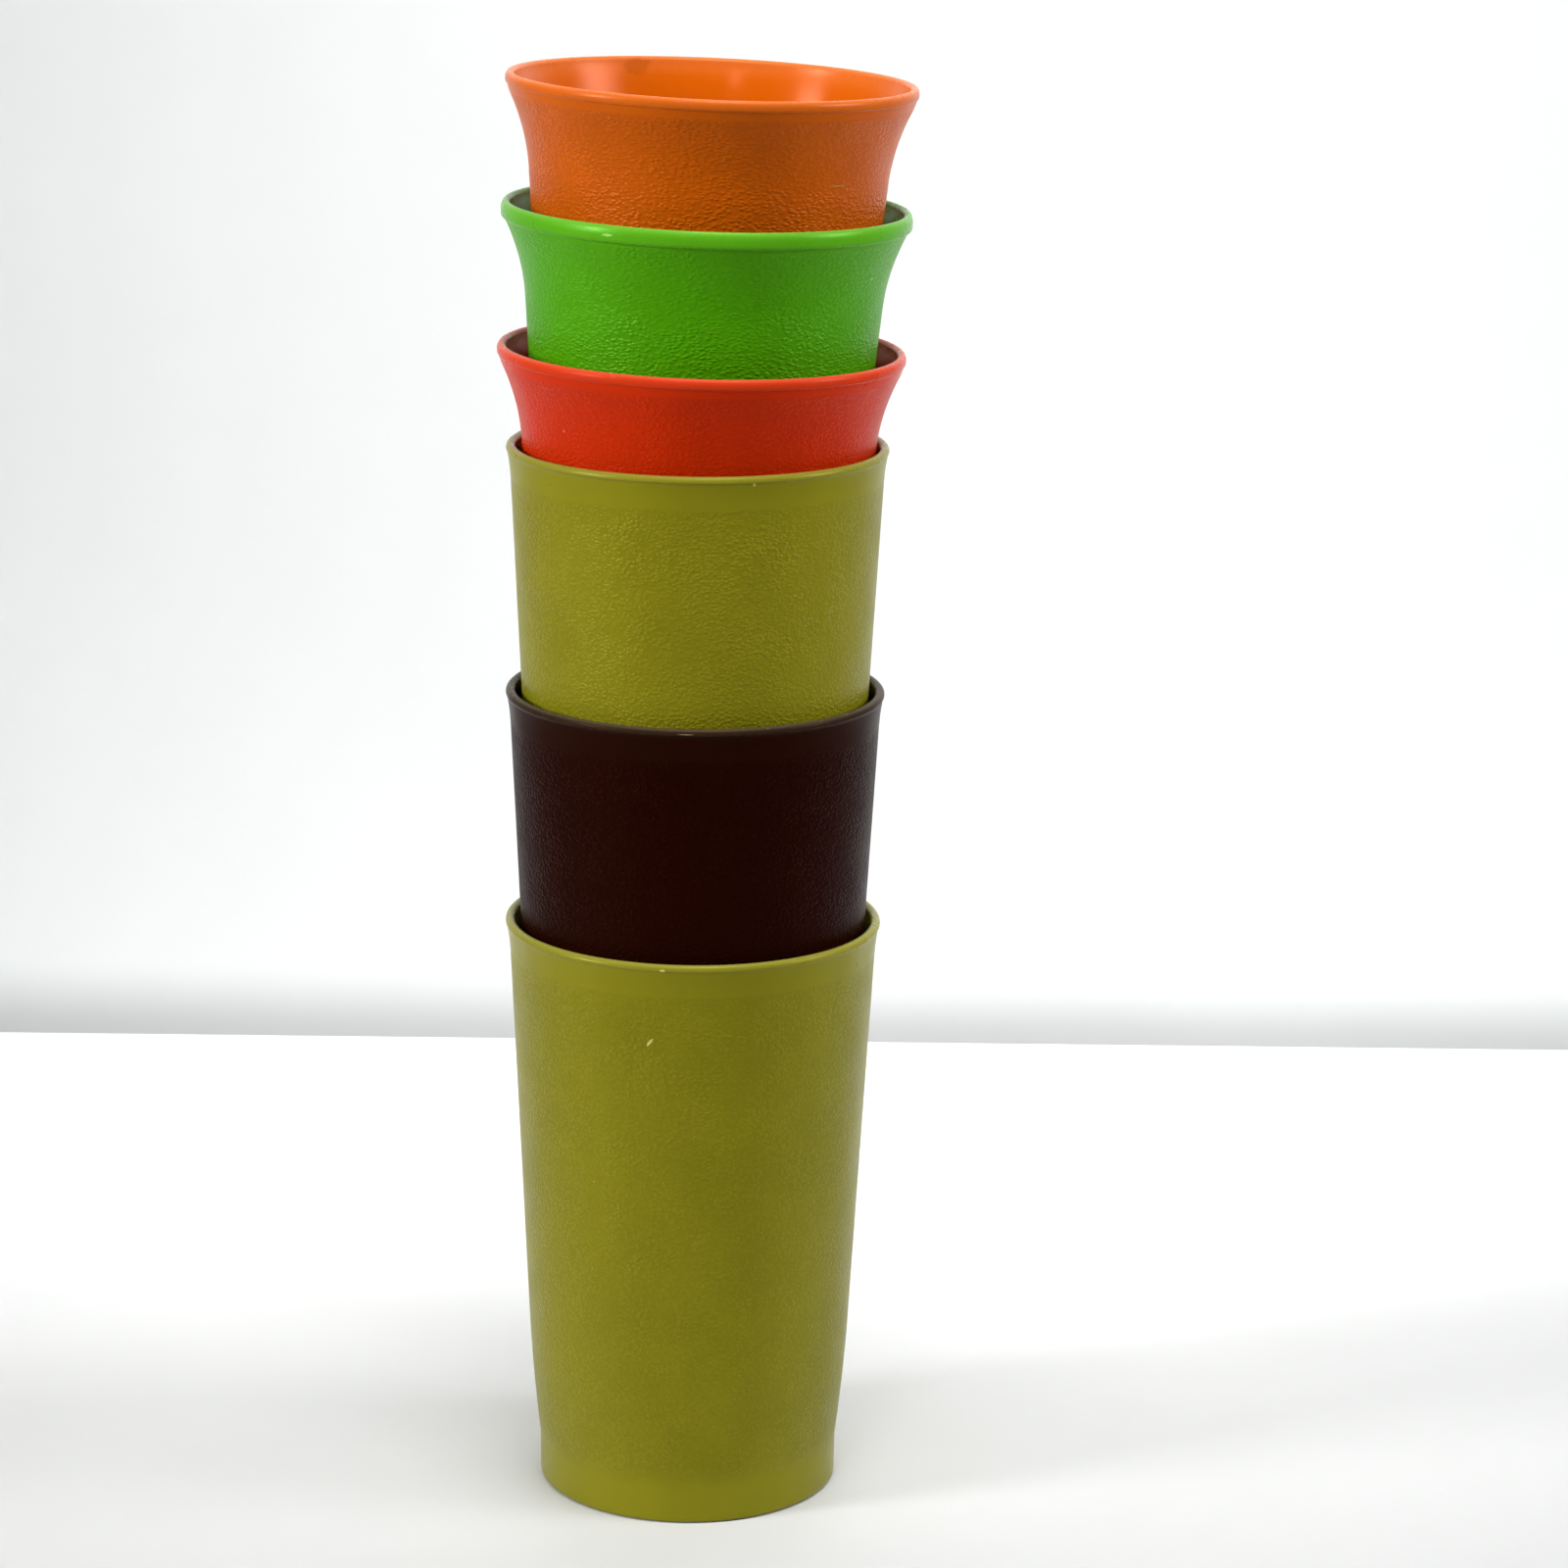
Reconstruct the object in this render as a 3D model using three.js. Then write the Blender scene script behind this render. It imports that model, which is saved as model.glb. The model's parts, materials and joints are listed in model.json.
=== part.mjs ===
// A tower of six plastic drinking tumblers, mouths up, each standing in the one below it.
// The lower three are straight-sided, the upper three have flared rims.
// Millimetres, +Z up. The origin is the centre of the bottom tumbler's foot, on the table.
// The upper three lean a little to +X, because they sit loosely in one another.

import * as THREE from 'three';

const FACETS = 40; // round each tumbler
const QUARTER_TURN = Math.PI / 2;

// Sizes that both kinds of tumbler share.
const EDGE_RADIUS = 1.2; // round outer edge of the foot
const FOOT_RING_WIDTH = 2.6; // flat ring that touches the table
const RECESS_DEPTH = 1.4; // hollow inside that ring, underneath
const RECESS_SLOPE = 0.8; // its sloping side, measured across
const CORNER_RADIUS = 5; // inside, where wall meets floor

// Each [radius, height] pair is a point of the outline, with height above the tumbler's own foot.
// A bend is the control point of a quadratic curve between its two neighbours.
const STRAIGHT_TUMBLER = {
  height: 134.3,
  lipThickness: 2.2,
  rimRadius: 42.5,
  floorHeight: 4,
  footRadius: 34.2,
  footTop: [34.3, 9.8],
  lowerBend: [36.19, 25.5],
  lowerTop: [36.85, 38.3],
  wallTop: [41.28, 123.7],
  bandBottom: [41.4, 124.1],
  bandBend: [41.25, 127.8],
  bandTop: [42.45, 132.1],
  insideRimBend: [39.2, 129.5],
  insideWallTop: [39.05, 125],
  insideWallBottom: [34.55, 38.3],
  insideFootWall: [31.9, 9],
};

const FLARED_TUMBLER = {
  height: 115,
  lipThickness: 2,
  rimRadius: 45.15,
  floorHeight: 3.8,
  footRadius: 31.2,
  footTop: [31.3, 10],
  lowerBend: [33.32, 23],
  lowerTop: [34.43, 36],
  wallTop: [39.35, 93.9],
  flareBend: [40.07, 102.35],
  flareTop: [44.24, 110.7],
  bandBottom: [44.39, 111],
  bandBend: [45, 112.2],
  bandTop: [45.1, 113.1],
  insideRimBend: [38.5, 102.6],
  insideWallTop: [37.65, 93.9],
  insideWallBottom: [32.05, 28],
  insideFootWall: [29.2, 8.8],
};

// Bottom to top: where the middle of each rim is, and how far its axis leans to +X.
const TOWER = [
  {
    name: 'tumbler_olive_bottom',
    kind: STRAIGHT_TUMBLER,
    rimX: 0,
    rimHeight: 134.3,
    leanDegrees: 0,
    color: 0x87832a,
  },
  {
    name: 'tumbler_brown',
    kind: STRAIGHT_TUMBLER,
    rimX: 0,
    rimHeight: 187.5,
    leanDegrees: 0,
    color: 0x2a1109,
  },
  {
    name: 'tumbler_olive_upper',
    kind: STRAIGHT_TUMBLER,
    rimX: 0,
    rimHeight: 242.9,
    leanDegrees: 0,
    color: 0x87831c,
  },
  {
    name: 'tumbler_red',
    kind: FLARED_TUMBLER,
    rimX: 0.68,
    rimHeight: 264.4,
    leanDegrees: 1.14,
    color: 0xc7350c,
  },
  {
    name: 'tumbler_green',
    kind: FLARED_TUMBLER,
    rimX: 1.56,
    rimHeight: 295.7,
    leanDegrees: 1.4,
    color: 0x57a20a,
  },
  {
    name: 'tumbler_orange',
    kind: FLARED_TUMBLER,
    rimX: 2.45,
    rimHeight: 323.3,
    leanDegrees: 1.76,
    color: 0xcd5c08,
  },
];

const ROUGHNESS = 0.42;

function point([radius, height]) {
  return new THREE.Vector2(radius, height);
}

function bendBetween(start, bend, end, steps) {
  return new THREE.QuadraticBezierCurve(point(start), point(bend), point(end)).getPoints(steps);
}

function arc(radiusOfCentre, heightOfCentre, size, fromAngle, toAngle, steps) {
  const clockwise = toAngle < fromAngle;
  const curve = new THREE.EllipseCurve(
    radiusOfCentre,
    heightOfCentre,
    size,
    size,
    fromAngle,
    toAngle,
    clockwise,
  );
  return curve.getPoints(steps);
}

// From the middle of the underside, out to the foot and up its rounded edge.
function footOutline(kind) {
  const ringOuter = kind.footRadius - EDGE_RADIUS;
  const ringInner = ringOuter - FOOT_RING_WIDTH;
  return [
    point([0, RECESS_DEPTH]),
    point([ringInner - RECESS_SLOPE, RECESS_DEPTH]),
    point([ringInner, 0]),
    ...arc(ringOuter, EDGE_RADIUS, EDGE_RADIUS, -QUARTER_TURN, 0, 2),
  ];
}

// Up the outside: the upright foot band, the curve above it, the tapered wall and the rim band.
function outsideOutline(kind) {
  const lowerWall = bendBetween(kind.footTop, kind.lowerBend, kind.lowerTop, 3);
  const flare = kind.flareBend
    ? bendBetween(kind.wallTop, kind.flareBend, kind.flareTop, 4)
    : [point(kind.wallTop)];
  const band = bendBetween(kind.bandBottom, kind.bandBend, kind.bandTop, 2);
  return [...lowerWall, ...flare, ...band];
}

// Over the round lip.
function lipOutline(kind) {
  const lipRadius = kind.lipThickness / 2;
  const middle = kind.rimRadius - lipRadius;
  return arc(middle, kind.height - lipRadius, lipRadius, 0, Math.PI, 4);
}

// Down the inside to the middle of the floor.
function insideOutline(kind) {
  const lipInside = [
    kind.rimRadius - kind.lipThickness,
    kind.height - kind.lipThickness / 2,
  ];
  const [wallRadius, wallHeight] = kind.insideFootWall;
  const rimCurve = bendBetween(lipInside, kind.insideRimBend, kind.insideWallTop, 4);
  const corner = bendBetween(
    [wallRadius, wallHeight],
    [wallRadius, kind.floorHeight],
    [wallRadius - CORNER_RADIUS, kind.floorHeight],
    2,
  );
  return [
    ...rimCurve.slice(1),
    point(kind.insideWallBottom),
    ...corner,
    point([0, kind.floorHeight]),
  ];
}

// One closed body of revolution, standing on its foot at the origin.
function tumblerGeometry(kind) {
  const outline = [
    ...footOutline(kind),
    ...outsideOutline(kind),
    ...lipOutline(kind),
    ...insideOutline(kind),
  ];
  const geometry = new THREE.LatheGeometry(outline, FACETS);
  geometry.rotateX(QUARTER_TURN);
  return geometry;
}

function buildTumbler({ name, kind, rimX, rimHeight, leanDegrees, color }) {
  const material = new THREE.MeshStandardMaterial({ color, roughness: ROUGHNESS, metalness: 0 });
  const mesh = new THREE.Mesh(tumblerGeometry(kind), material);
  const lean = THREE.MathUtils.degToRad(leanDegrees);
  mesh.name = name;
  mesh.rotation.y = lean;
  mesh.position.x = rimX - kind.height * Math.sin(lean);
  mesh.position.z = rimHeight - kind.height * Math.cos(lean);
  return mesh;
}

const tower = new THREE.Group();
tower.name = 'tumbler_tower';
for (const tumbler of TOWER) {
  tower.add(buildTumbler(tumbler));
}

export default tower;
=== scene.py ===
"""Looks for a tower of six nested plastic tumblers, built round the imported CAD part.

Metres, +Z up. Each tumbler is one smooth turned shell. Its mesh is made in the tumbler's own frame,
with the centre of the foot at the origin and the mouth up, and is then moved to where its CAD node is.
"""
import json
import math

import bmesh
import bpy
from mathutils import Matrix, Vector


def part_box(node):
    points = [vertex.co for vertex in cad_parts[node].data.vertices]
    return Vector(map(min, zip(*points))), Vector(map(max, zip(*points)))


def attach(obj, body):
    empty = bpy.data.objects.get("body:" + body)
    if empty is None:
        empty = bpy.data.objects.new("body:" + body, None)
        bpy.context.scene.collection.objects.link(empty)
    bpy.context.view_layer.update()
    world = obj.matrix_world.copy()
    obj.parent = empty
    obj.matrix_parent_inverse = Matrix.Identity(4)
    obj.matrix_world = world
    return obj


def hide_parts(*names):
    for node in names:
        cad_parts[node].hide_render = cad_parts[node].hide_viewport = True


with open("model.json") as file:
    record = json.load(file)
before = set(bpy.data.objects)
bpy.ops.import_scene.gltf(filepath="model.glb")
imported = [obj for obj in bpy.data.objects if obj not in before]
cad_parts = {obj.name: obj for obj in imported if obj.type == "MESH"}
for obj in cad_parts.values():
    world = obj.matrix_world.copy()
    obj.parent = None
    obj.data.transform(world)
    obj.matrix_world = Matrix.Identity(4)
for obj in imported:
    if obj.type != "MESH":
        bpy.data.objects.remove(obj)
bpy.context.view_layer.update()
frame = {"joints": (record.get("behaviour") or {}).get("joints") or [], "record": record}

# ---------------------------------------------------------------- sizes, in metres
SEGMENTS = 144  # round each tumbler
EDGE_RADIUS = 0.0012  # round outer edge of the foot
RING_WIDTH = 0.0026  # flat ring that touches the table
RING_EDGE = 0.0005  # its softer inner edge
RECESS_DEPTH = 0.0014  # hollow inside that ring, underneath
RECESS_SLOPE = 0.0008  # its sloping side, measured across
SLOPE_START = (0.0002, 0.0004)  # where that side leaves its rounded top, across and down
CORNER_RADIUS = 0.005  # inside, where wall meets floor
GATE_RADIUS = 0.0019  # moulding gate, a nub in the middle of the underside
GATE_HEIGHT = 0.0005
GATE_FLAT = 0.6  # flat share of its radius
FLOOR_RING = 0.0115  # faint turned ring on the inside floor
FLOOR_RING_SIDE = 0.0006  # half its width
FLOOR_RING_DEPTH = 0.00012
LIP_STEPS = 12  # over the outer half of the lip

# Outline points are (radius, height above the tumbler's own foot).
STRAIGHT = {
    "height": 0.1343,
    "lip": 0.0022,
    "rim": 0.0425,
    "floor": 0.004,
    "foot": 0.0342,
    "foot_top": (0.0343, 0.0098),
    "lower_bend": (0.03619, 0.0255),
    "lower_top": (0.03685, 0.0383),
    "wall_top": (0.04144, 0.1266),
    "band_bottom": (0.04150, 0.1269),
    "band_bend": (0.04165, 0.1296),
    "band_top": (0.04232, 0.1329),
    "bead_round": 0.00015,
    "lip_drop": 0.0011,
    "inside_rim_bend": (0.0392, 0.1295),
    "inside_wall_top": (0.03905, 0.125),
    "inside_wall_bottom": (0.03455, 0.0383),
    "inside_foot_wall": (0.0319, 0.009),
}
FLARED = {
    "height": 0.115,
    "lip": 0.002,
    "rim": 0.04515,
    "floor": 0.0038,
    "foot": 0.0312,
    "foot_top": (0.0313, 0.010),
    "lower_bend": (0.03332, 0.023),
    "lower_top": (0.03443, 0.036),
    "wall_top": (0.03935, 0.0939),
    "flare_bend": (0.04007, 0.10235),
    "flare_top": (0.04417, 0.1107),
    "band_bottom": (0.04424, 0.1109),
    "band_bend": (0.04462, 0.1119),
    "band_top": (0.04474, 0.1126),
    "bead_round": 0.0007,
    "lip_drop": 0.0014,
    "inside_rim_bend": (0.0385, 0.1026),
    "inside_wall_top": (0.03765, 0.0939),
    "inside_wall_bottom": (0.03205, 0.028),
    "inside_foot_wall": (0.0292, 0.0088),
}
WIDE_BEAD = {
    **FLARED,
    "band_bend": (0.0443, 0.1110),
    "band_top": (0.04436, 0.1112),
    "bead_round": 0.0009,
    "lip_drop": 0.0022,
}

# How grained, how worn and how glossy each zone of the outline is.
# The gloss also sets how far a zone is painted darker, as painted shade.
ZONES = {
    "underside": (0.0, 0.0, 0.3),
    "foot": (0.0, 0.05, 0.3),
    "wall": (1.0, 0.0, 0.0),
    "flare": (0.85, 0.0, 0.05),
    "band": (0.0, 0.03, 0.35),
    "bead": (0.0, 0.3, 0.5),
    "lip": (0.0, 1.0, 0.5),
    "inside": (0.0, 0.0, 1.0),
}
ZONE_SOFTENING = 2  # passes, where one zone meets the next

# ---------------------------------------------------------------- plastic
# Grain is (pebbles per metre round the tumbler, pebbles per metre up it, depth).
FINE_GRAIN = (1100.0, 1450.0, 0.00014)
COARSE_GRAIN = (860.0, 1550.0, 0.00019)
PEBBLE_WARP_NOISE = (0.6, 1.0)  # scale and detail of what pushes the pebbles out of shape
PEBBLE_WARP = 0.9  # how far it pushes them, in pebbles
PEBBLE_SMOOTHNESS = 0.3
PEBBLE_DOME = (0.05, 0.75)  # distances from its middle where it starts and stops falling
SHALLOWEST_GRAIN = 0.55  # share of the full depth

# Patterns of noise: scale, detail, roughness, and the two values between which it fades from 0 to 1.
MOTTLING = (55.0, 4.0, 0.6, 0.3, 0.7)
GRAIN_PATCHES = (140.0, 2.0, 0.5, 0.3, 0.7)
DULL_PATCHES = (120.0, 4.0, 0.6, 0.3, 0.7)
SCUFFS = (520.0, 4.0, 0.7, 0.60, 0.72)
SCRATCHES = (62.0, 6.0, 0.75, 0.67, 0.74)
PAINT_MOTTLING = (9.0, 4.0, 0.6, 0.3, 0.7)
SHIFT_SHARES = (1.0, 0.7, 1.3)  # of a pattern's shift along x, y and z
SCUFF_STRETCH = (1.0, 1.0, 2.5)  # squeezed in height, so that they lie along the rim
SCRATCH_STRETCH = (1.0, 1.0, 24.0)
SCUFF_SHIFT = 1.7  # away from the other patterns
SCRATCH_SHIFT = 3.1

PALE = (0.75, 0.70, 0.40)  # what worn plastic fades towards
SCUFFED_SHADE = 1.4  # shades are multiples of the tumbler's own colour
# painted shade of the grain: pebble tops a little lighter, furrows darker
PEBBLE_SHADE = 1.06
FURROW_PAINTED_SHADE = 0.86
PALE_PEBBLE_SHADE = 1.14  # the same two where the mottling is pale
PALE_FURROW_PAINTED_SHADE = 0.95
# painted shade: glossy zones, the inside most, are painted darker
INSIDE_PAINTED_SHADE = 0.72
CHIP_SHADE = 3.0
DARK_SPOT_SHADE = 0.6
SCUFFED_PALENESS = 0.3  # shares of PALE in a colour
SPECK_PALENESS = 0.5
CHIP_PALENESS = 0.45
INSIDE_COVER = 0.5  # how far each layer covers what lies under it
LIP_COVER = 0.22
SCUFF_COVER = 0.3
SCRATCH_COVER = 0.10
SPECK_COVER = 0.45

SPECK_SCALE = 95.0  # cells per metre
SPECK_EDGE = (0.018, 0.032)  # distances from the middle of a cell
SPECK_CHOICE = (0.84, 0.86)  # only cells with a random value above these have a speck

MARK_DEPTH = 0.0012  # half of it, so that a mark doesn't show on the wall's other side
MARK_RAGGEDNESS = 1.1
MARK_RAGGED_NOISE = (1.6, 3.0, 0.7)  # scale, detail and roughness, in units of the mark's own size
MARK_EDGE = (1.15, 1.5)  # raggedness and distance together, where a mark starts and stops fading

FINE_NOISE = (3200.0, 2.0)  # scale and detail of the plastic's finest texture
FINE_HEIGHT = 0.06  # heights are shares of the grain's depth
CHIP_HEIGHT = 0.5
UNEVEN_NOISE = (38.0, 1.0)  # scale and detail of the wall's slow unevenness
UNEVEN_DEPTH = 0.0006
UNEVEN_STRENGTH = 0.2

WALL_ROUGHNESS = (0.34, 0.42)
GLOSS_ROUGHNESS = -0.19
SCUFF_ROUGHNESS = 0.2
SCRATCH_ROUGHNESS = 0.08
PLASTIC_IOR = 1.5
HIGHLIGHT_WHITENESS = 0.2  # the rest is the plastic's own colour

# ---------------------------------------------------------------- the six tumblers
# A mark is (angle round from the front, height above the foot, half width, half height, slant, strength),
# in degrees and metres. It is a pale chip or nick on the outside, or a darker oval spot on the inside
# where its strength is negative.
TOWER = [
    {
        "node": "tumbler_olive_bottom",
        "shape": STRAIGHT,
        "slot": "olive_plastic",
        "colour": (0.222, 0.205, 0.007),
        "shine": 0.22,
        "grain": FINE_GRAIN,
        "seed": 1.0,
        "marks": [
            (-13.1, 0.1160, 0.0004, 0.0014, 38, 0.9),
            (-8.9, 0.1331, 0.0008, 0.0004, 0, 0.8),
            (-28.0, 0.1334, 0.0035, 0.00025, 0, 0.4),
            (118.0, 0.0710, 0.0022, 0.00012, 12, 0.4),
        ],
    },
    {
        "node": "tumbler_brown",
        "shape": STRAIGHT,
        "slot": "brown_plastic",
        "colour": (0.0148, 0.0019, 0.0004),
        "shine": 0.04,
        "grain": FINE_GRAIN,
        "seed": 2.0,
        "marks": [
            (-2.6, 0.1333, 0.0022, 0.00018, 0, 0.4),
            (54.0, 0.1334, 0.00035, 0.0009, 0, 0.5),
            (-150.0, 0.1120, 0.0003, 0.0008, 20, 0.5),
        ],
    },
    {
        "node": "tumbler_olive_upper",
        "shape": STRAIGHT,
        "slot": "olive_plastic",
        "colour": (0.235, 0.216, 0.007),
        "shine": 0.22,
        "grain": FINE_GRAIN,
        "seed": 3.0,
        "marks": [
            (16.7, 0.1325, 0.0004, 0.0005, 0, 0.7),
            (-49.2, 0.1337, 0.0011, 0.0004, 0, 0.5),
            (160.0, 0.0960, 0.0004, 0.0010, -30, 0.6),
        ],
    },
    {
        "node": "tumbler_red",
        "shape": FLARED,
        "slot": "red_plastic",
        "colour": (0.60, 0.027, 0.0008),
        "shine": 0.15,
        "grain": FINE_GRAIN,
        "seed": 4.0,
        "marks": [
            (-46.5, 0.1000, 0.00035, 0.00035, 0, 0.5),
        ],
    },
    {
        "node": "tumbler_green",
        "shape": WIDE_BEAD,
        "slot": "green_plastic",
        "colour": (0.080, 0.36, 0.0008),
        "shine": 0.26,
        "grain": COARSE_GRAIN,
        "seed": 5.0,
        "marks": [
            (-27.8, 0.1129, 0.0016, 0.0004, 0, 0.6),
            (61.0, 0.1028, 0.00035, 0.0005, 0, 0.7),
        ],
    },
    {
        "node": "tumbler_orange",
        "shape": FLARED,
        "slot": "orange_plastic",
        "colour": (0.60, 0.104, 0.0008),
        "shine": 0.26,
        "grain": COARSE_GRAIN,
        "seed": 6.0,
        "marks": [
            (43.5, 0.0962, 0.0040, 0.00014, 0, 0.4),
            (203.9, 0.1133, 0.0040, 0.0042, 0, -0.45),
        ],
    },
]

# ---------------------------------------------------------------- camera, in metres and degrees
CAMERA_PLACE = Vector((0.0, -1.05264, 0.43223))
CAMERA_PITCH = 14.303  # down
CAMERA_YAW = 1.102  # towards +X
CAMERA_ROLL = 0.861
CAMERA_LENS = 110.48  # mm
SENSOR_WIDTH = 36.0  # mm
CAMERA_SHIFT = 0.00325
CLIP_START = 0.05

# ---------------------------------------------------------------- stage
STAGE_REACH = 4.0
WALL_HEIGHT = 3.0
WALL_DISTANCE = 0.335  # behind the tower's axis
WALL_TURN = 0.4  # degrees
WALL_FOOT = 0.024  # painted shade: the wall is painted darker below this height, where it meets the table
# painted shade at the wall's foot: how far it darkens at the bottom, and the shade of white it darkens to
WALL_FOOT_PAINTED_SHADE = 0.55
PAINTED_SHADE_TONE = 0.3
MOTTLE_SHADE = 0.975
TABLE_WHITE = (0.74, 0.745, 0.74)
WALL_WHITE = (0.86, 0.875, 0.88)
PAINT_ROUGHNESS = 0.6

# ---------------------------------------------------------------- light
ROOM_COLOUR = (0.97, 0.985, 1.0)
AMBIENT = 0.22
# name, place, aim, size, power in watts, spread in degrees
LIGHTS = [
    ("overhead", (0.1, -0.25, 1.1), (0.06, -0.1, 0), (0.35, 0.25), 0.9, 80.0),
    ("wall", (0.05, -0.1, 1.5), (0.05, 0.33, 0.5), (0.7, 0.3), 2.1, 44.0),
    ("left", (-1.2, -0.5, 0.75), (0, 0, 0.3), (0.35, 0.8), 1.1, 34.0),
    ("right", (1.2, -0.22, 0.8), (0, 0, 0.26), (0.6, 0.5), 0.76, 40.0),
    ("lamp", (-0.3, -1.2, 1.27), (0, 0, 0.3), (0.05, 0.05), 0.12, 60.0),
]


# ================================================================ outlines
def bend(start, control, end, steps, zone):
    """A quadratic curve, without its first point."""
    points = []
    for i in range(1, steps + 1):
        t = i / steps
        u = 1 - t
        radius = u * u * start[0] + 2 * u * t * control[0] + t * t * end[0]
        height = u * u * start[1] + 2 * u * t * control[1] + t * t * end[1]
        points.append((radius, height, zone))
    return points


def line(start, end, steps, zone):
    """A straight line, without its first point."""
    middle = ((start[0] + end[0]) / 2, (start[1] + end[1]) / 2)
    return bend(start, middle, end, steps, zone)


def arc(centre, size, first, last, steps, zone):
    """A circular arc between two angles in degrees, with both its ends."""
    points = []
    for i in range(steps + 1):
        a = math.radians(first + (last - first) * i / steps)
        points.append((centre[0] + size * math.cos(a), centre[1] + size * math.sin(a), zone))
    return points


def underside_outline(shape):
    """The gate nub, the recess and the ring that the tumbler stands on, with its rounded edge."""
    ring_outer = shape["foot"] - EDGE_RADIUS
    ring_inner = ring_outer - RING_WIDTH
    nub = RECESS_DEPTH - GATE_HEIGHT
    slope_top = (ring_inner - RECESS_SLOPE, RECESS_DEPTH)
    slope_start = (slope_top[0] + SLOPE_START[0], RECESS_DEPTH - SLOPE_START[1])
    slope_bottom = (ring_inner, RING_EDGE / 2)
    points = [(0.0, nub, "underside"), (GATE_RADIUS * GATE_FLAT, nub, "underside")]
    points += bend(points[-1], (GATE_RADIUS, nub), (GATE_RADIUS, RECESS_DEPTH), 4, "underside")
    points += line(points[-1], (slope_top[0] - RING_EDGE, RECESS_DEPTH), 10, "underside")
    points += bend(points[-1], slope_top, slope_start, 3, "underside")
    points += line(points[-1], slope_bottom, 2, "underside")
    points += bend(points[-1], (ring_inner, 0.0), (ring_inner + RING_EDGE, 0.0), 3, "underside")
    points += line(points[-1], (ring_outer, 0.0), 4, "foot")
    points += arc((ring_outer, EDGE_RADIUS), EDGE_RADIUS, -90, 0, 8, "foot")[1:]
    return points


def outside_outline(shape):
    """The upright foot band, the tapered wall, the flare if there is one, and the rim band."""
    points = line((shape["foot"], EDGE_RADIUS), shape["foot_top"], 8, "foot")
    points += bend(points[-1], shape["lower_bend"], shape["lower_top"], 18, "wall")
    points += line(points[-1], shape["wall_top"], 36, "wall")
    if "flare_bend" in shape:
        points += bend(points[-1], shape["flare_bend"], shape["flare_top"], 20, "flare")
    points += line(points[-1], shape["band_bottom"], 2, "band")
    points += bend(points[-1], shape["band_bend"], shape["band_top"], 10, "band")
    return points


def lip_outline(shape):
    """The bead round the rim, from the crease under it over the lip to the top of the inside wall."""
    rim = shape["rim"]
    height = shape["height"]
    size = shape["lip"] / 2
    drop = shape["lip_drop"]
    crease = shape["band_top"]
    bead = bend(crease, (rim, crease[1]), (rim, crease[1] + shape["bead_round"]), 5, "bead")
    bead += line(bead[-1], (rim, height - drop), 3, "bead")
    for i in range(1, LIP_STEPS + 1):
        a = math.pi / 2 * i / LIP_STEPS
        zone = "bead" if i < LIP_STEPS / 2 else "lip"
        bead.append((rim - size + size * math.cos(a), height - drop + drop * math.sin(a), zone))
    return bead + arc((rim - size, height - size), size, 90, 180, 10, "lip")[1:]


def inside_outline(shape):
    """Down the inside wall, round the corner and across the floor."""
    lip_inside = (shape["rim"] - shape["lip"], shape["height"] - shape["lip"] / 2)
    foot_wall = shape["inside_foot_wall"]
    floor = shape["floor"]
    corner = (foot_wall[0], floor)
    corner_end = (foot_wall[0] - CORNER_RADIUS, floor)
    ring_outer = (FLOOR_RING + FLOOR_RING_SIDE, floor)
    ring_bend = (FLOOR_RING, floor - FLOOR_RING_DEPTH * 2)
    ring_inner = (FLOOR_RING - FLOOR_RING_SIDE, floor)
    points = bend(lip_inside, shape["inside_rim_bend"], shape["inside_wall_top"], 14, "inside")
    points += line(points[-1], shape["inside_wall_bottom"], 24, "inside")
    points += line(points[-1], foot_wall, 8, "inside")
    points += bend(points[-1], corner, corner_end, 8, "inside")
    points += line(points[-1], ring_outer, 8, "inside")
    points += bend(points[-1], ring_bend, ring_inner, 6, "inside")
    points += line(points[-1], (0.0, floor), 5, "inside")
    return points


def tumbler_outline(shape):
    return underside_outline(shape) + outside_outline(shape) + lip_outline(shape) + inside_outline(shape)


# ================================================================ meshes
def zone_values(outline):
    """The zone values of each point, softened where one zone meets the next."""
    values = [ZONES[zone] for _, _, zone in outline]
    for _ in range(ZONE_SOFTENING):
        neighbours = zip(values[:1] + values[:-1], values, values[1:] + values[-1:])
        values = [tuple((a + 2 * b + c) / 4 for a, b, c in zip(*three)) for three in neighbours]
    return values


def turned_mesh(name, outline):
    """A closed surface of revolution, with the zone values of each point as mesh attributes."""
    bm = bmesh.new()
    rings = []
    zones = []
    for (radius, height, _), values in zip(outline, zone_values(outline)):
        around = SEGMENTS if radius > 0 else 1
        ring = []
        for i in range(around):
            a = 2 * math.pi * i / SEGMENTS
            ring.append(bm.verts.new((radius * math.cos(a), radius * math.sin(a), height)))
            zones.append(values)
        rings.append(ring)
    for below, above in zip(rings, rings[1:]):
        for i in range(SEGMENTS):
            j = (i + 1) % SEGMENTS
            corners = [
                below[i % len(below)],
                below[j % len(below)],
                above[j % len(above)],
                above[i % len(above)],
            ]
            # A ring on the axis is one point, which is counted once.
            bm.faces.new(list(dict.fromkeys(corners)))
    bmesh.ops.recalc_face_normals(bm, faces=bm.faces)
    mesh = bpy.data.meshes.new(name)
    bm.to_mesh(mesh)
    bm.free()
    mesh.shade_smooth()
    for index, attribute in enumerate(("grain", "wear", "gloss")):
        layer = mesh.attributes.new(attribute, "FLOAT", "POINT")
        layer.data.foreach_set("value", [values[index] for values in zones])
    return mesh


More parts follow.
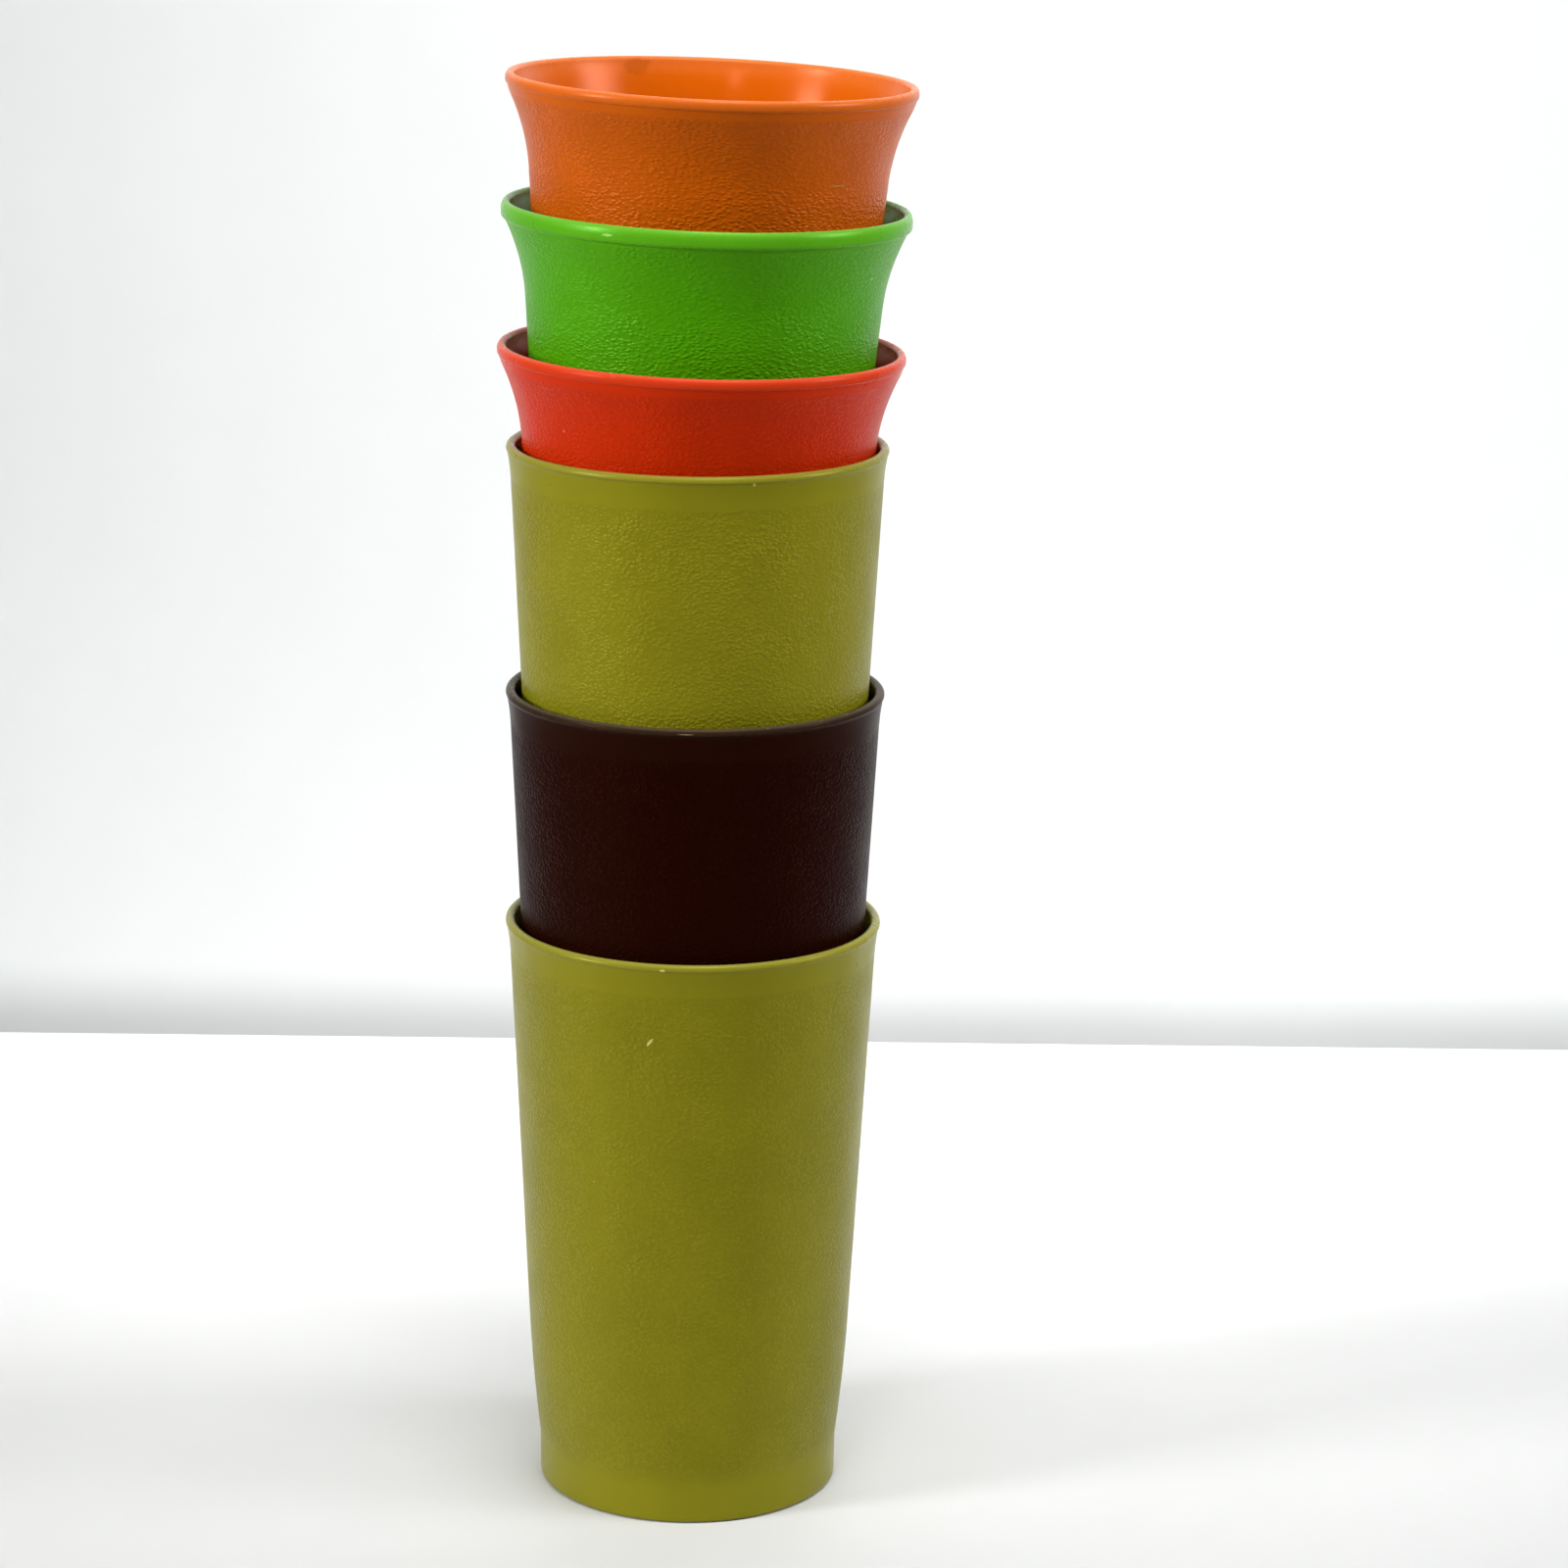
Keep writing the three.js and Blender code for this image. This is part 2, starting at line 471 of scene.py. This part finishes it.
# ================================================================ materials
class Nodes:
    """A few short calls for building a node tree."""

    def __init__(self, name):
        self.material = bpy.data.materials.new(name)
        self.material.use_nodes = True
        self.tree = self.material.node_tree
        self.tree.nodes.clear()

    def add(self, kind, **settings):
        node = self.tree.nodes.new(kind)
        for key, value in settings.items():
            setattr(node, key, value)
        return node

    def put(self, socket, value):
        """Links an output to an input, or sets the input to a plain value."""
        if isinstance(value, bpy.types.NodeSocket):
            self.tree.links.new(value, socket)
        else:
            socket.default_value = value

    def math(self, operation, *values):
        node = self.add("ShaderNodeMath", operation=operation)
        for socket, value in zip(node.inputs, values):
            self.put(socket, value)
        return node.outputs[0]

    def vector(self, operation, first, second=None, scale=None):
        """The outputs of a vector calculation, by name."""
        node = self.add("ShaderNodeVectorMath", operation=operation)
        self.put(node.inputs[0], first)
        if second is not None:
            self.put(node.inputs[1], second)
        if scale is not None:
            self.put(node.inputs["Scale"], scale)
        return node.outputs

    def fade(self, value, low, high, to_low=0.0, to_high=1.0):
        """Maps low..high to to_low..to_high, smoothly and clamped."""
        node = self.add("ShaderNodeMapRange", interpolation_type="SMOOTHSTEP")
        for socket, number in zip(node.inputs, (value, low, high, to_low, to_high)):
            self.put(socket, number)
        return node.outputs[0]

    def mix(self, share, first, second):
        """Two colours mixed. Sockets 6 and 7 of the node are its colours, and output 2 is the result."""
        node = self.add("ShaderNodeMix", data_type="RGBA")
        self.put(node.inputs["Factor"], share)
        self.put(node.inputs[6], first)
        self.put(node.inputs[7], second)
        return node.outputs[2]

    def attribute(self, name):
        return self.add("ShaderNodeAttribute", attribute_name=name).outputs["Fac"]

    def place(self, stretch=(1, 1, 1), shift=0.0):
        """The piece's own coordinates, stretched and shifted."""
        mapping = self.add("ShaderNodeMapping")
        self.put(mapping.inputs["Vector"], self.add("ShaderNodeTexCoord").outputs["Object"])
        self.put(mapping.inputs["Location"], tuple(shift * share for share in SHIFT_SHARES))
        self.put(mapping.inputs["Scale"], stretch)
        return mapping.outputs[0]

    def noise(self, where, scale, detail=2.0, roughness=0.5):
        """The outputs of a noise, "Fac" and "Color"."""
        node = self.add("ShaderNodeTexNoise")
        self.put(node.inputs["Vector"], where)
        self.put(node.inputs["Scale"], scale)
        self.put(node.inputs["Detail"], detail)
        self.put(node.inputs["Roughness"], roughness)
        return node.outputs

    def pattern(self, where, kind, to_low=0.0, to_high=1.0):
        """One of the patterns of noise listed at the top, from to_low to to_high."""
        scale, detail, roughness, low, high = kind
        noise = self.noise(where, scale, detail, roughness)["Fac"]
        return self.fade(noise, low, high, to_low, to_high)

    def cells(self, where, scale, feature="F1"):
        node = self.add("ShaderNodeTexVoronoi", feature=feature)
        self.put(node.inputs["Vector"], where)
        self.put(node.inputs["Scale"], scale)
        return node

    def spot(self, centre, size, angle, slant):
        """1 inside a small ragged oval on the wall, 0 outside it."""
        mapping = self.add("ShaderNodeMapping", vector_type="TEXTURE")
        self.put(mapping.inputs["Vector"], self.add("ShaderNodeTexCoord").outputs["Object"])
        self.put(mapping.inputs["Location"], centre)
        self.put(mapping.inputs["Rotation"], (0, math.radians(slant), math.radians(angle)))
        self.put(mapping.inputs["Scale"], size)
        reach = self.vector("LENGTH", mapping.outputs[0])["Value"]
        ragged = self.noise(mapping.outputs[0], *MARK_RAGGED_NOISE)["Fac"]
        edge = self.math("ADD", self.math("MULTIPLY", ragged, MARK_RAGGEDNESS), reach)
        return self.fade(edge, *MARK_EDGE, 1.0, 0.0)

    def bump(self, height, distance, strength, under=None):
        node = self.add("ShaderNodeBump")
        self.put(node.inputs["Height"], height)
        self.put(node.inputs["Distance"], distance)
        self.put(node.inputs["Strength"], strength)
        if under is not None:
            self.put(node.inputs["Normal"], under)
        return node.outputs[0]

    def finish(self, surface):
        """Makes this shader the material's surface."""
        self.put(self.add("ShaderNodeOutputMaterial").inputs["Surface"], surface)
        return self.material


def rgba(colour):
    return (*colour, 1.0)


def scaled(colour, factor):
    return tuple(min(1.0, c * factor) for c in colour)


def blended(colour, other, share):
    return tuple(a + (b - a) * share for a, b in zip(colour, other))


def pebble_grain(n, grain, seed):
    """Rounded pebbles with furrows between them, from 0 to 1, deeper in some patches than others."""
    across, up, _ = grain
    here = n.place(stretch=(across, across, up), shift=seed)
    wobble = n.noise(here, *PEBBLE_WARP_NOISE)["Color"]
    push = n.vector("SCALE", wobble, scale=PEBBLE_WARP)[0]
    pebbles = n.cells(n.vector("ADD", here, push)[0], 1.0, feature="SMOOTH_F1")
    n.put(pebbles.inputs["Smoothness"], PEBBLE_SMOOTHNESS)
    dome = n.fade(pebbles.outputs["Distance"], *PEBBLE_DOME, 1.0, 0.0)
    patches = n.pattern(n.place(shift=seed), GRAIN_PATCHES, SHALLOWEST_GRAIN, 1.0)
    return n.math("MULTIPLY", dome, patches)


def pale_specks(n, here):
    """1 in a few tiny specks, 0 elsewhere."""
    cells = n.cells(here, SPECK_SCALE)
    chosen = n.add("ShaderNodeSeparateColor")
    n.put(chosen.inputs[0], cells.outputs["Color"])
    near = n.fade(cells.outputs["Distance"], *SPECK_EDGE, 1.0, 0.0)
    return n.math("MULTIPLY", near, n.fade(chosen.outputs[0], *SPECK_CHOICE))


def plastic(name, tumbler, marks):
    """Moulded plastic: pebbled on the wall, smooth on foot, rim and inside, scuffed on the lip."""
    n = Nodes(name)
    colour = tumbler["colour"]
    seed = tumbler["seed"]
    scuffed = rgba(blended(scaled(colour, SCUFFED_SHADE), PALE, SCUFFED_PALENESS))
    grain = n.attribute("grain")
    wear = n.attribute("wear")
    gloss = n.attribute("gloss")
    here = n.place(shift=seed)

    def shade(factor):
        return rgba(scaled(colour, factor))

    def layer(share, cover, base, top):
        return n.mix(n.math("MULTIPLY", share, cover), base, top)

    pebbles = n.math("MULTIPLY", pebble_grain(n, tumbler["grain"], seed), grain)
    height = n.math("MULTIPLY_ADD", n.noise(here, *FINE_NOISE)["Fac"], FINE_HEIGHT, pebbles)

    # Slow mottling, with painted shade in the grain: darker furrows and slightly lighter pebble tops.
    mottle = n.pattern(here, MOTTLING)
    furrow = n.math("SUBTRACT", grain, pebbles)
    plain = n.mix(furrow, shade(PEBBLE_SHADE), shade(FURROW_PAINTED_SHADE))
    base = n.mix(mottle, plain, n.mix(furrow, shade(PALE_PEBBLE_SHADE), shade(PALE_FURROW_PAINTED_SHADE)))

    # The glossy zones, the inside most, are painted darker as painted shade, and the lip is paler, with
    # scuffs.
    base = layer(gloss, INSIDE_COVER, base, shade(INSIDE_PAINTED_SHADE))
    along_rim = n.place(stretch=SCUFF_STRETCH, shift=seed + SCUFF_SHIFT)
    scuff = n.math("MULTIPLY", n.pattern(along_rim, SCUFFS), wear)
    base = layer(wear, LIP_COVER, base, scuffed)
    base = layer(scuff, SCUFF_COVER, base, scuffed)

    # Fine scratches that run round the wall, and a few tiny pale specks.
    round_wall = n.place(stretch=SCRATCH_STRETCH, shift=seed + SCRATCH_SHIFT)
    scratch = n.pattern(round_wall, SCRATCHES)
    base = layer(scratch, SCRATCH_COVER, base, scuffed)
    base = layer(pale_specks(n, here), SPECK_COVER, base, rgba(blended(colour, PALE, SPECK_PALENESS)))

    # Single marks: chips and nicks are pale and a little raised, marks on the inside are darker spots.
    chip = rgba(blended(scaled(colour, CHIP_SHADE), PALE, CHIP_PALENESS))
    for centre, mark in marks:
        angle, _, half_width, half_height, slant, strength = mark
        spot = n.spot(centre, (half_width, MARK_DEPTH, half_height), angle, slant)
        if strength > 0:
            base = layer(spot, strength, base, chip)
            height = n.math("MULTIPLY_ADD", spot, CHIP_HEIGHT, height)
        else:
            base = layer(spot, -strength, base, shade(DARK_SPOT_SHADE))

    # The grained wall is dull, the inside glossy, and worn places are rougher.
    rough = n.pattern(here, DULL_PATCHES, *WALL_ROUGHNESS)
    rough = n.math("MULTIPLY_ADD", gloss, GLOSS_ROUGHNESS, rough)
    rough = n.math("MULTIPLY_ADD", scuff, SCUFF_ROUGHNESS, rough)
    rough = n.math("MULTIPLY_ADD", scratch, SCRATCH_ROUGHNESS, rough)

    # The wall's slow unevenness lies under the grain.
    uneven = n.bump(n.noise(here, *UNEVEN_NOISE)["Fac"], UNEVEN_DEPTH, UNEVEN_STRENGTH)
    normal = n.bump(height, tumbler["grain"][2], 1.0, under=uneven)

    own_colour = scaled(colour, 1 / max(colour))
    shader = n.add("ShaderNodeBsdfPrincipled")
    n.put(shader.inputs["Base Color"], base)
    n.put(shader.inputs["Roughness"], rough)
    n.put(shader.inputs["IOR"], PLASTIC_IOR)
    n.put(shader.inputs["Specular IOR Level"], tumbler["shine"])
    n.put(shader.inputs["Specular Tint"], rgba(blended(own_colour, (1, 1, 1), HIGHLIGHT_WHITENESS)))
    n.put(shader.inputs["Normal"], normal)
    return n.finish(shader.outputs[0])


# ================================================================ placing the tumblers
def body_of(node):
    for body, members in frame["record"]["behaviour"]["bodies"].items():
        if node in members:
            return body
    raise KeyError(node)


def axis_of(body):
    """The axis of the joint that lifts this body. The bottom tumbler stands upright."""
    for joint in frame["joints"]:
        if joint["child"] == body:
            return Vector(joint["axis"]).normalized()
    return Vector((0, 0, 1))


def foot_of(node, axis, shape):
    """Centre of the node's foot, worked out from its box: the lip reaches highest and furthest to +X."""
    low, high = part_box(node)
    lip = shape["lip"] / 2
    lean = math.atan2(axis.x, axis.z)
    lip_height = high.z - ((shape["rim"] - lip) * math.sin(lean) + lip)
    lip_reach = (shape["rim"] - lip) * math.cos(lean) + lip
    lip_centre = Vector((high.x - lip_reach, (low.y + high.y) / 2, lip_height))
    return lip_centre - axis * (shape["height"] - lip)


def radius_at(outline, height, inside):
    """Radius of the tumbler's outside or inside at a height above its foot."""
    wall = [(abs(z - height), r) for r, z, zone in outline if (zone == "inside") == inside]
    return min(wall)[1]


def mark_centre(mark, outline, in_place):
    """Where a mark lies once its tumbler is in place. The front is -Y, and angles grow towards +X."""
    angle = math.radians(mark[0])
    radius = radius_at(outline, mark[1], inside=mark[-1] < 0)
    return in_place @ Vector((radius * math.sin(angle), -radius * math.cos(angle), mark[1]))


def build_tumbler(tumbler):
    node = tumbler["node"]
    shape = tumbler["shape"]
    body = body_of(node)
    axis = axis_of(body)
    turn = Vector((0, 0, 1)).rotation_difference(axis).to_matrix().to_4x4()
    in_place = Matrix.Translation(foot_of(node, axis, shape)) @ turn
    outline = tumbler_outline(shape)
    marks = [(mark_centre(mark, outline, in_place), mark) for mark in tumbler["marks"]]
    mesh = turned_mesh(node + "_shell", outline)
    mesh.transform(in_place)
    mesh.materials.append(plastic(tumbler["slot"] + "_" + body, tumbler, marks))
    piece = bpy.data.objects.new(node + "_shell", mesh)
    bpy.context.scene.collection.objects.link(piece)
    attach(piece, body)
    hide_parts(node)


# ================================================================ stage, light and camera
def paint(name, colour):
    """The nodes, colour and coordinates of white paint with faint mottling."""
    n = Nodes(name)
    here = n.place()
    tone = n.pattern(here, PAINT_MOTTLING)
    return n, n.mix(tone, rgba(scaled(colour, MOTTLE_SHADE)), rgba(colour)), here


def matt(n, base):
    """A dull surface of this colour."""
    shader = n.add("ShaderNodeBsdfPrincipled")
    n.put(shader.inputs["Base Color"], base)
    n.put(shader.inputs["Roughness"], PAINT_ROUGHNESS)
    return shader.outputs[0]


def table_paint():
    n, base, _ = paint("table_white", TABLE_WHITE)
    return n.finish(matt(n, base))


def wall_paint():
    """Paint with a painted shade, darker at the wall's foot where it meets the table. Views from behind
    the wall look through it.
    """
    n, base, here = paint("wall_white", WALL_WHITE)
    along = n.add("ShaderNodeSeparateXYZ")
    n.put(along.inputs[0], here)
    # Painted shade: the wall is painted darker towards its foot, where it meets the table.
    painted_shade = n.fade(along.outputs["Z"], 0.0, WALL_FOOT, WALL_FOOT_PAINTED_SHADE, 0.0)
    surface = matt(n, n.mix(painted_shade, base, rgba(scaled(WALL_WHITE, PAINTED_SHADE_TONE))))
    choice = n.add("ShaderNodeMixShader")
    n.put(choice.inputs[0], n.add("ShaderNodeNewGeometry").outputs["Backfacing"])
    n.put(choice.inputs[1], surface)
    n.put(choice.inputs[2], n.add("ShaderNodeBsdfTransparent").outputs[0])
    return n.finish(choice.outputs[0])


def sheet(name, corners, material):
    """One flat sheet through four corners."""
    mesh = bpy.data.meshes.new(name)
    mesh.from_pydata(corners, [], [(0, 1, 2, 3)])
    mesh.materials.append(material)
    thing = bpy.data.objects.new(name, mesh)
    bpy.context.scene.collection.objects.link(thing)


def build_stage():
    reach = STAGE_REACH
    turn = math.tan(math.radians(WALL_TURN)) * reach
    left = (-reach, WALL_DISTANCE + turn)
    right = (reach, WALL_DISTANCE - turn)
    floor = [(-reach, -reach, 0), (reach, -reach, 0), (reach, reach, 0), (-reach, reach, 0)]
    wall = [(*left, 0), (*right, 0), (*right, WALL_HEIGHT), (*left, WALL_HEIGHT)]
    sheet("stage_floor", floor, table_paint())
    sheet("stage_wall", wall, wall_paint())


def area_light(name, place, target, size, power, spread):
    data = bpy.data.lights.new(name, "AREA")
    data.shape = "RECTANGLE"
    data.size = size[0]
    data.size_y = size[1]
    data.energy = power
    data.spread = math.radians(spread)
    light = bpy.data.objects.new(name, data)
    light.location = place
    light.rotation_euler = (Vector(target) - Vector(place)).to_track_quat("-Z", "Y").to_euler()
    bpy.context.scene.collection.objects.link(light)


def build_light():
    world = bpy.data.worlds.new("soft_room")
    world.use_nodes = True
    background = world.node_tree.nodes["Background"]
    background.inputs["Color"].default_value = rgba(ROOM_COLOUR)
    background.inputs["Strength"].default_value = AMBIENT
    bpy.context.scene.world = world
    for light in LIGHTS:
        area_light(*light)


def build_camera():
    pitch = math.radians(CAMERA_PITCH)
    yaw = math.radians(CAMERA_YAW)
    roll = math.radians(CAMERA_ROLL)
    ahead = Vector((math.sin(yaw) * math.cos(pitch), math.cos(yaw) * math.cos(pitch), -math.sin(pitch)))
    side = Vector((math.cos(yaw), -math.sin(yaw), 0))
    above = side.cross(ahead)
    rolled_side = side * math.cos(roll) + above * math.sin(roll)
    rolled_above = above * math.cos(roll) - side * math.sin(roll)
    turn = Matrix((rolled_side, rolled_above, -ahead)).transposed().to_4x4()
    data = bpy.data.cameras.new("camera")
    data.lens = CAMERA_LENS
    data.sensor_width = SENSOR_WIDTH
    data.shift_y = CAMERA_SHIFT
    data.clip_start = CLIP_START
    camera = bpy.data.objects.new("camera", data)
    camera.matrix_world = Matrix.Translation(CAMERA_PLACE) @ turn
    bpy.context.scene.collection.objects.link(camera)
    bpy.context.scene.camera = camera


build_camera()
for tumbler in TOWER:
    build_tumbler(tumbler)
build_stage()
build_light()
bpy.context.scene.view_settings.view_transform = "Standard"
bpy.context.view_layer.update()
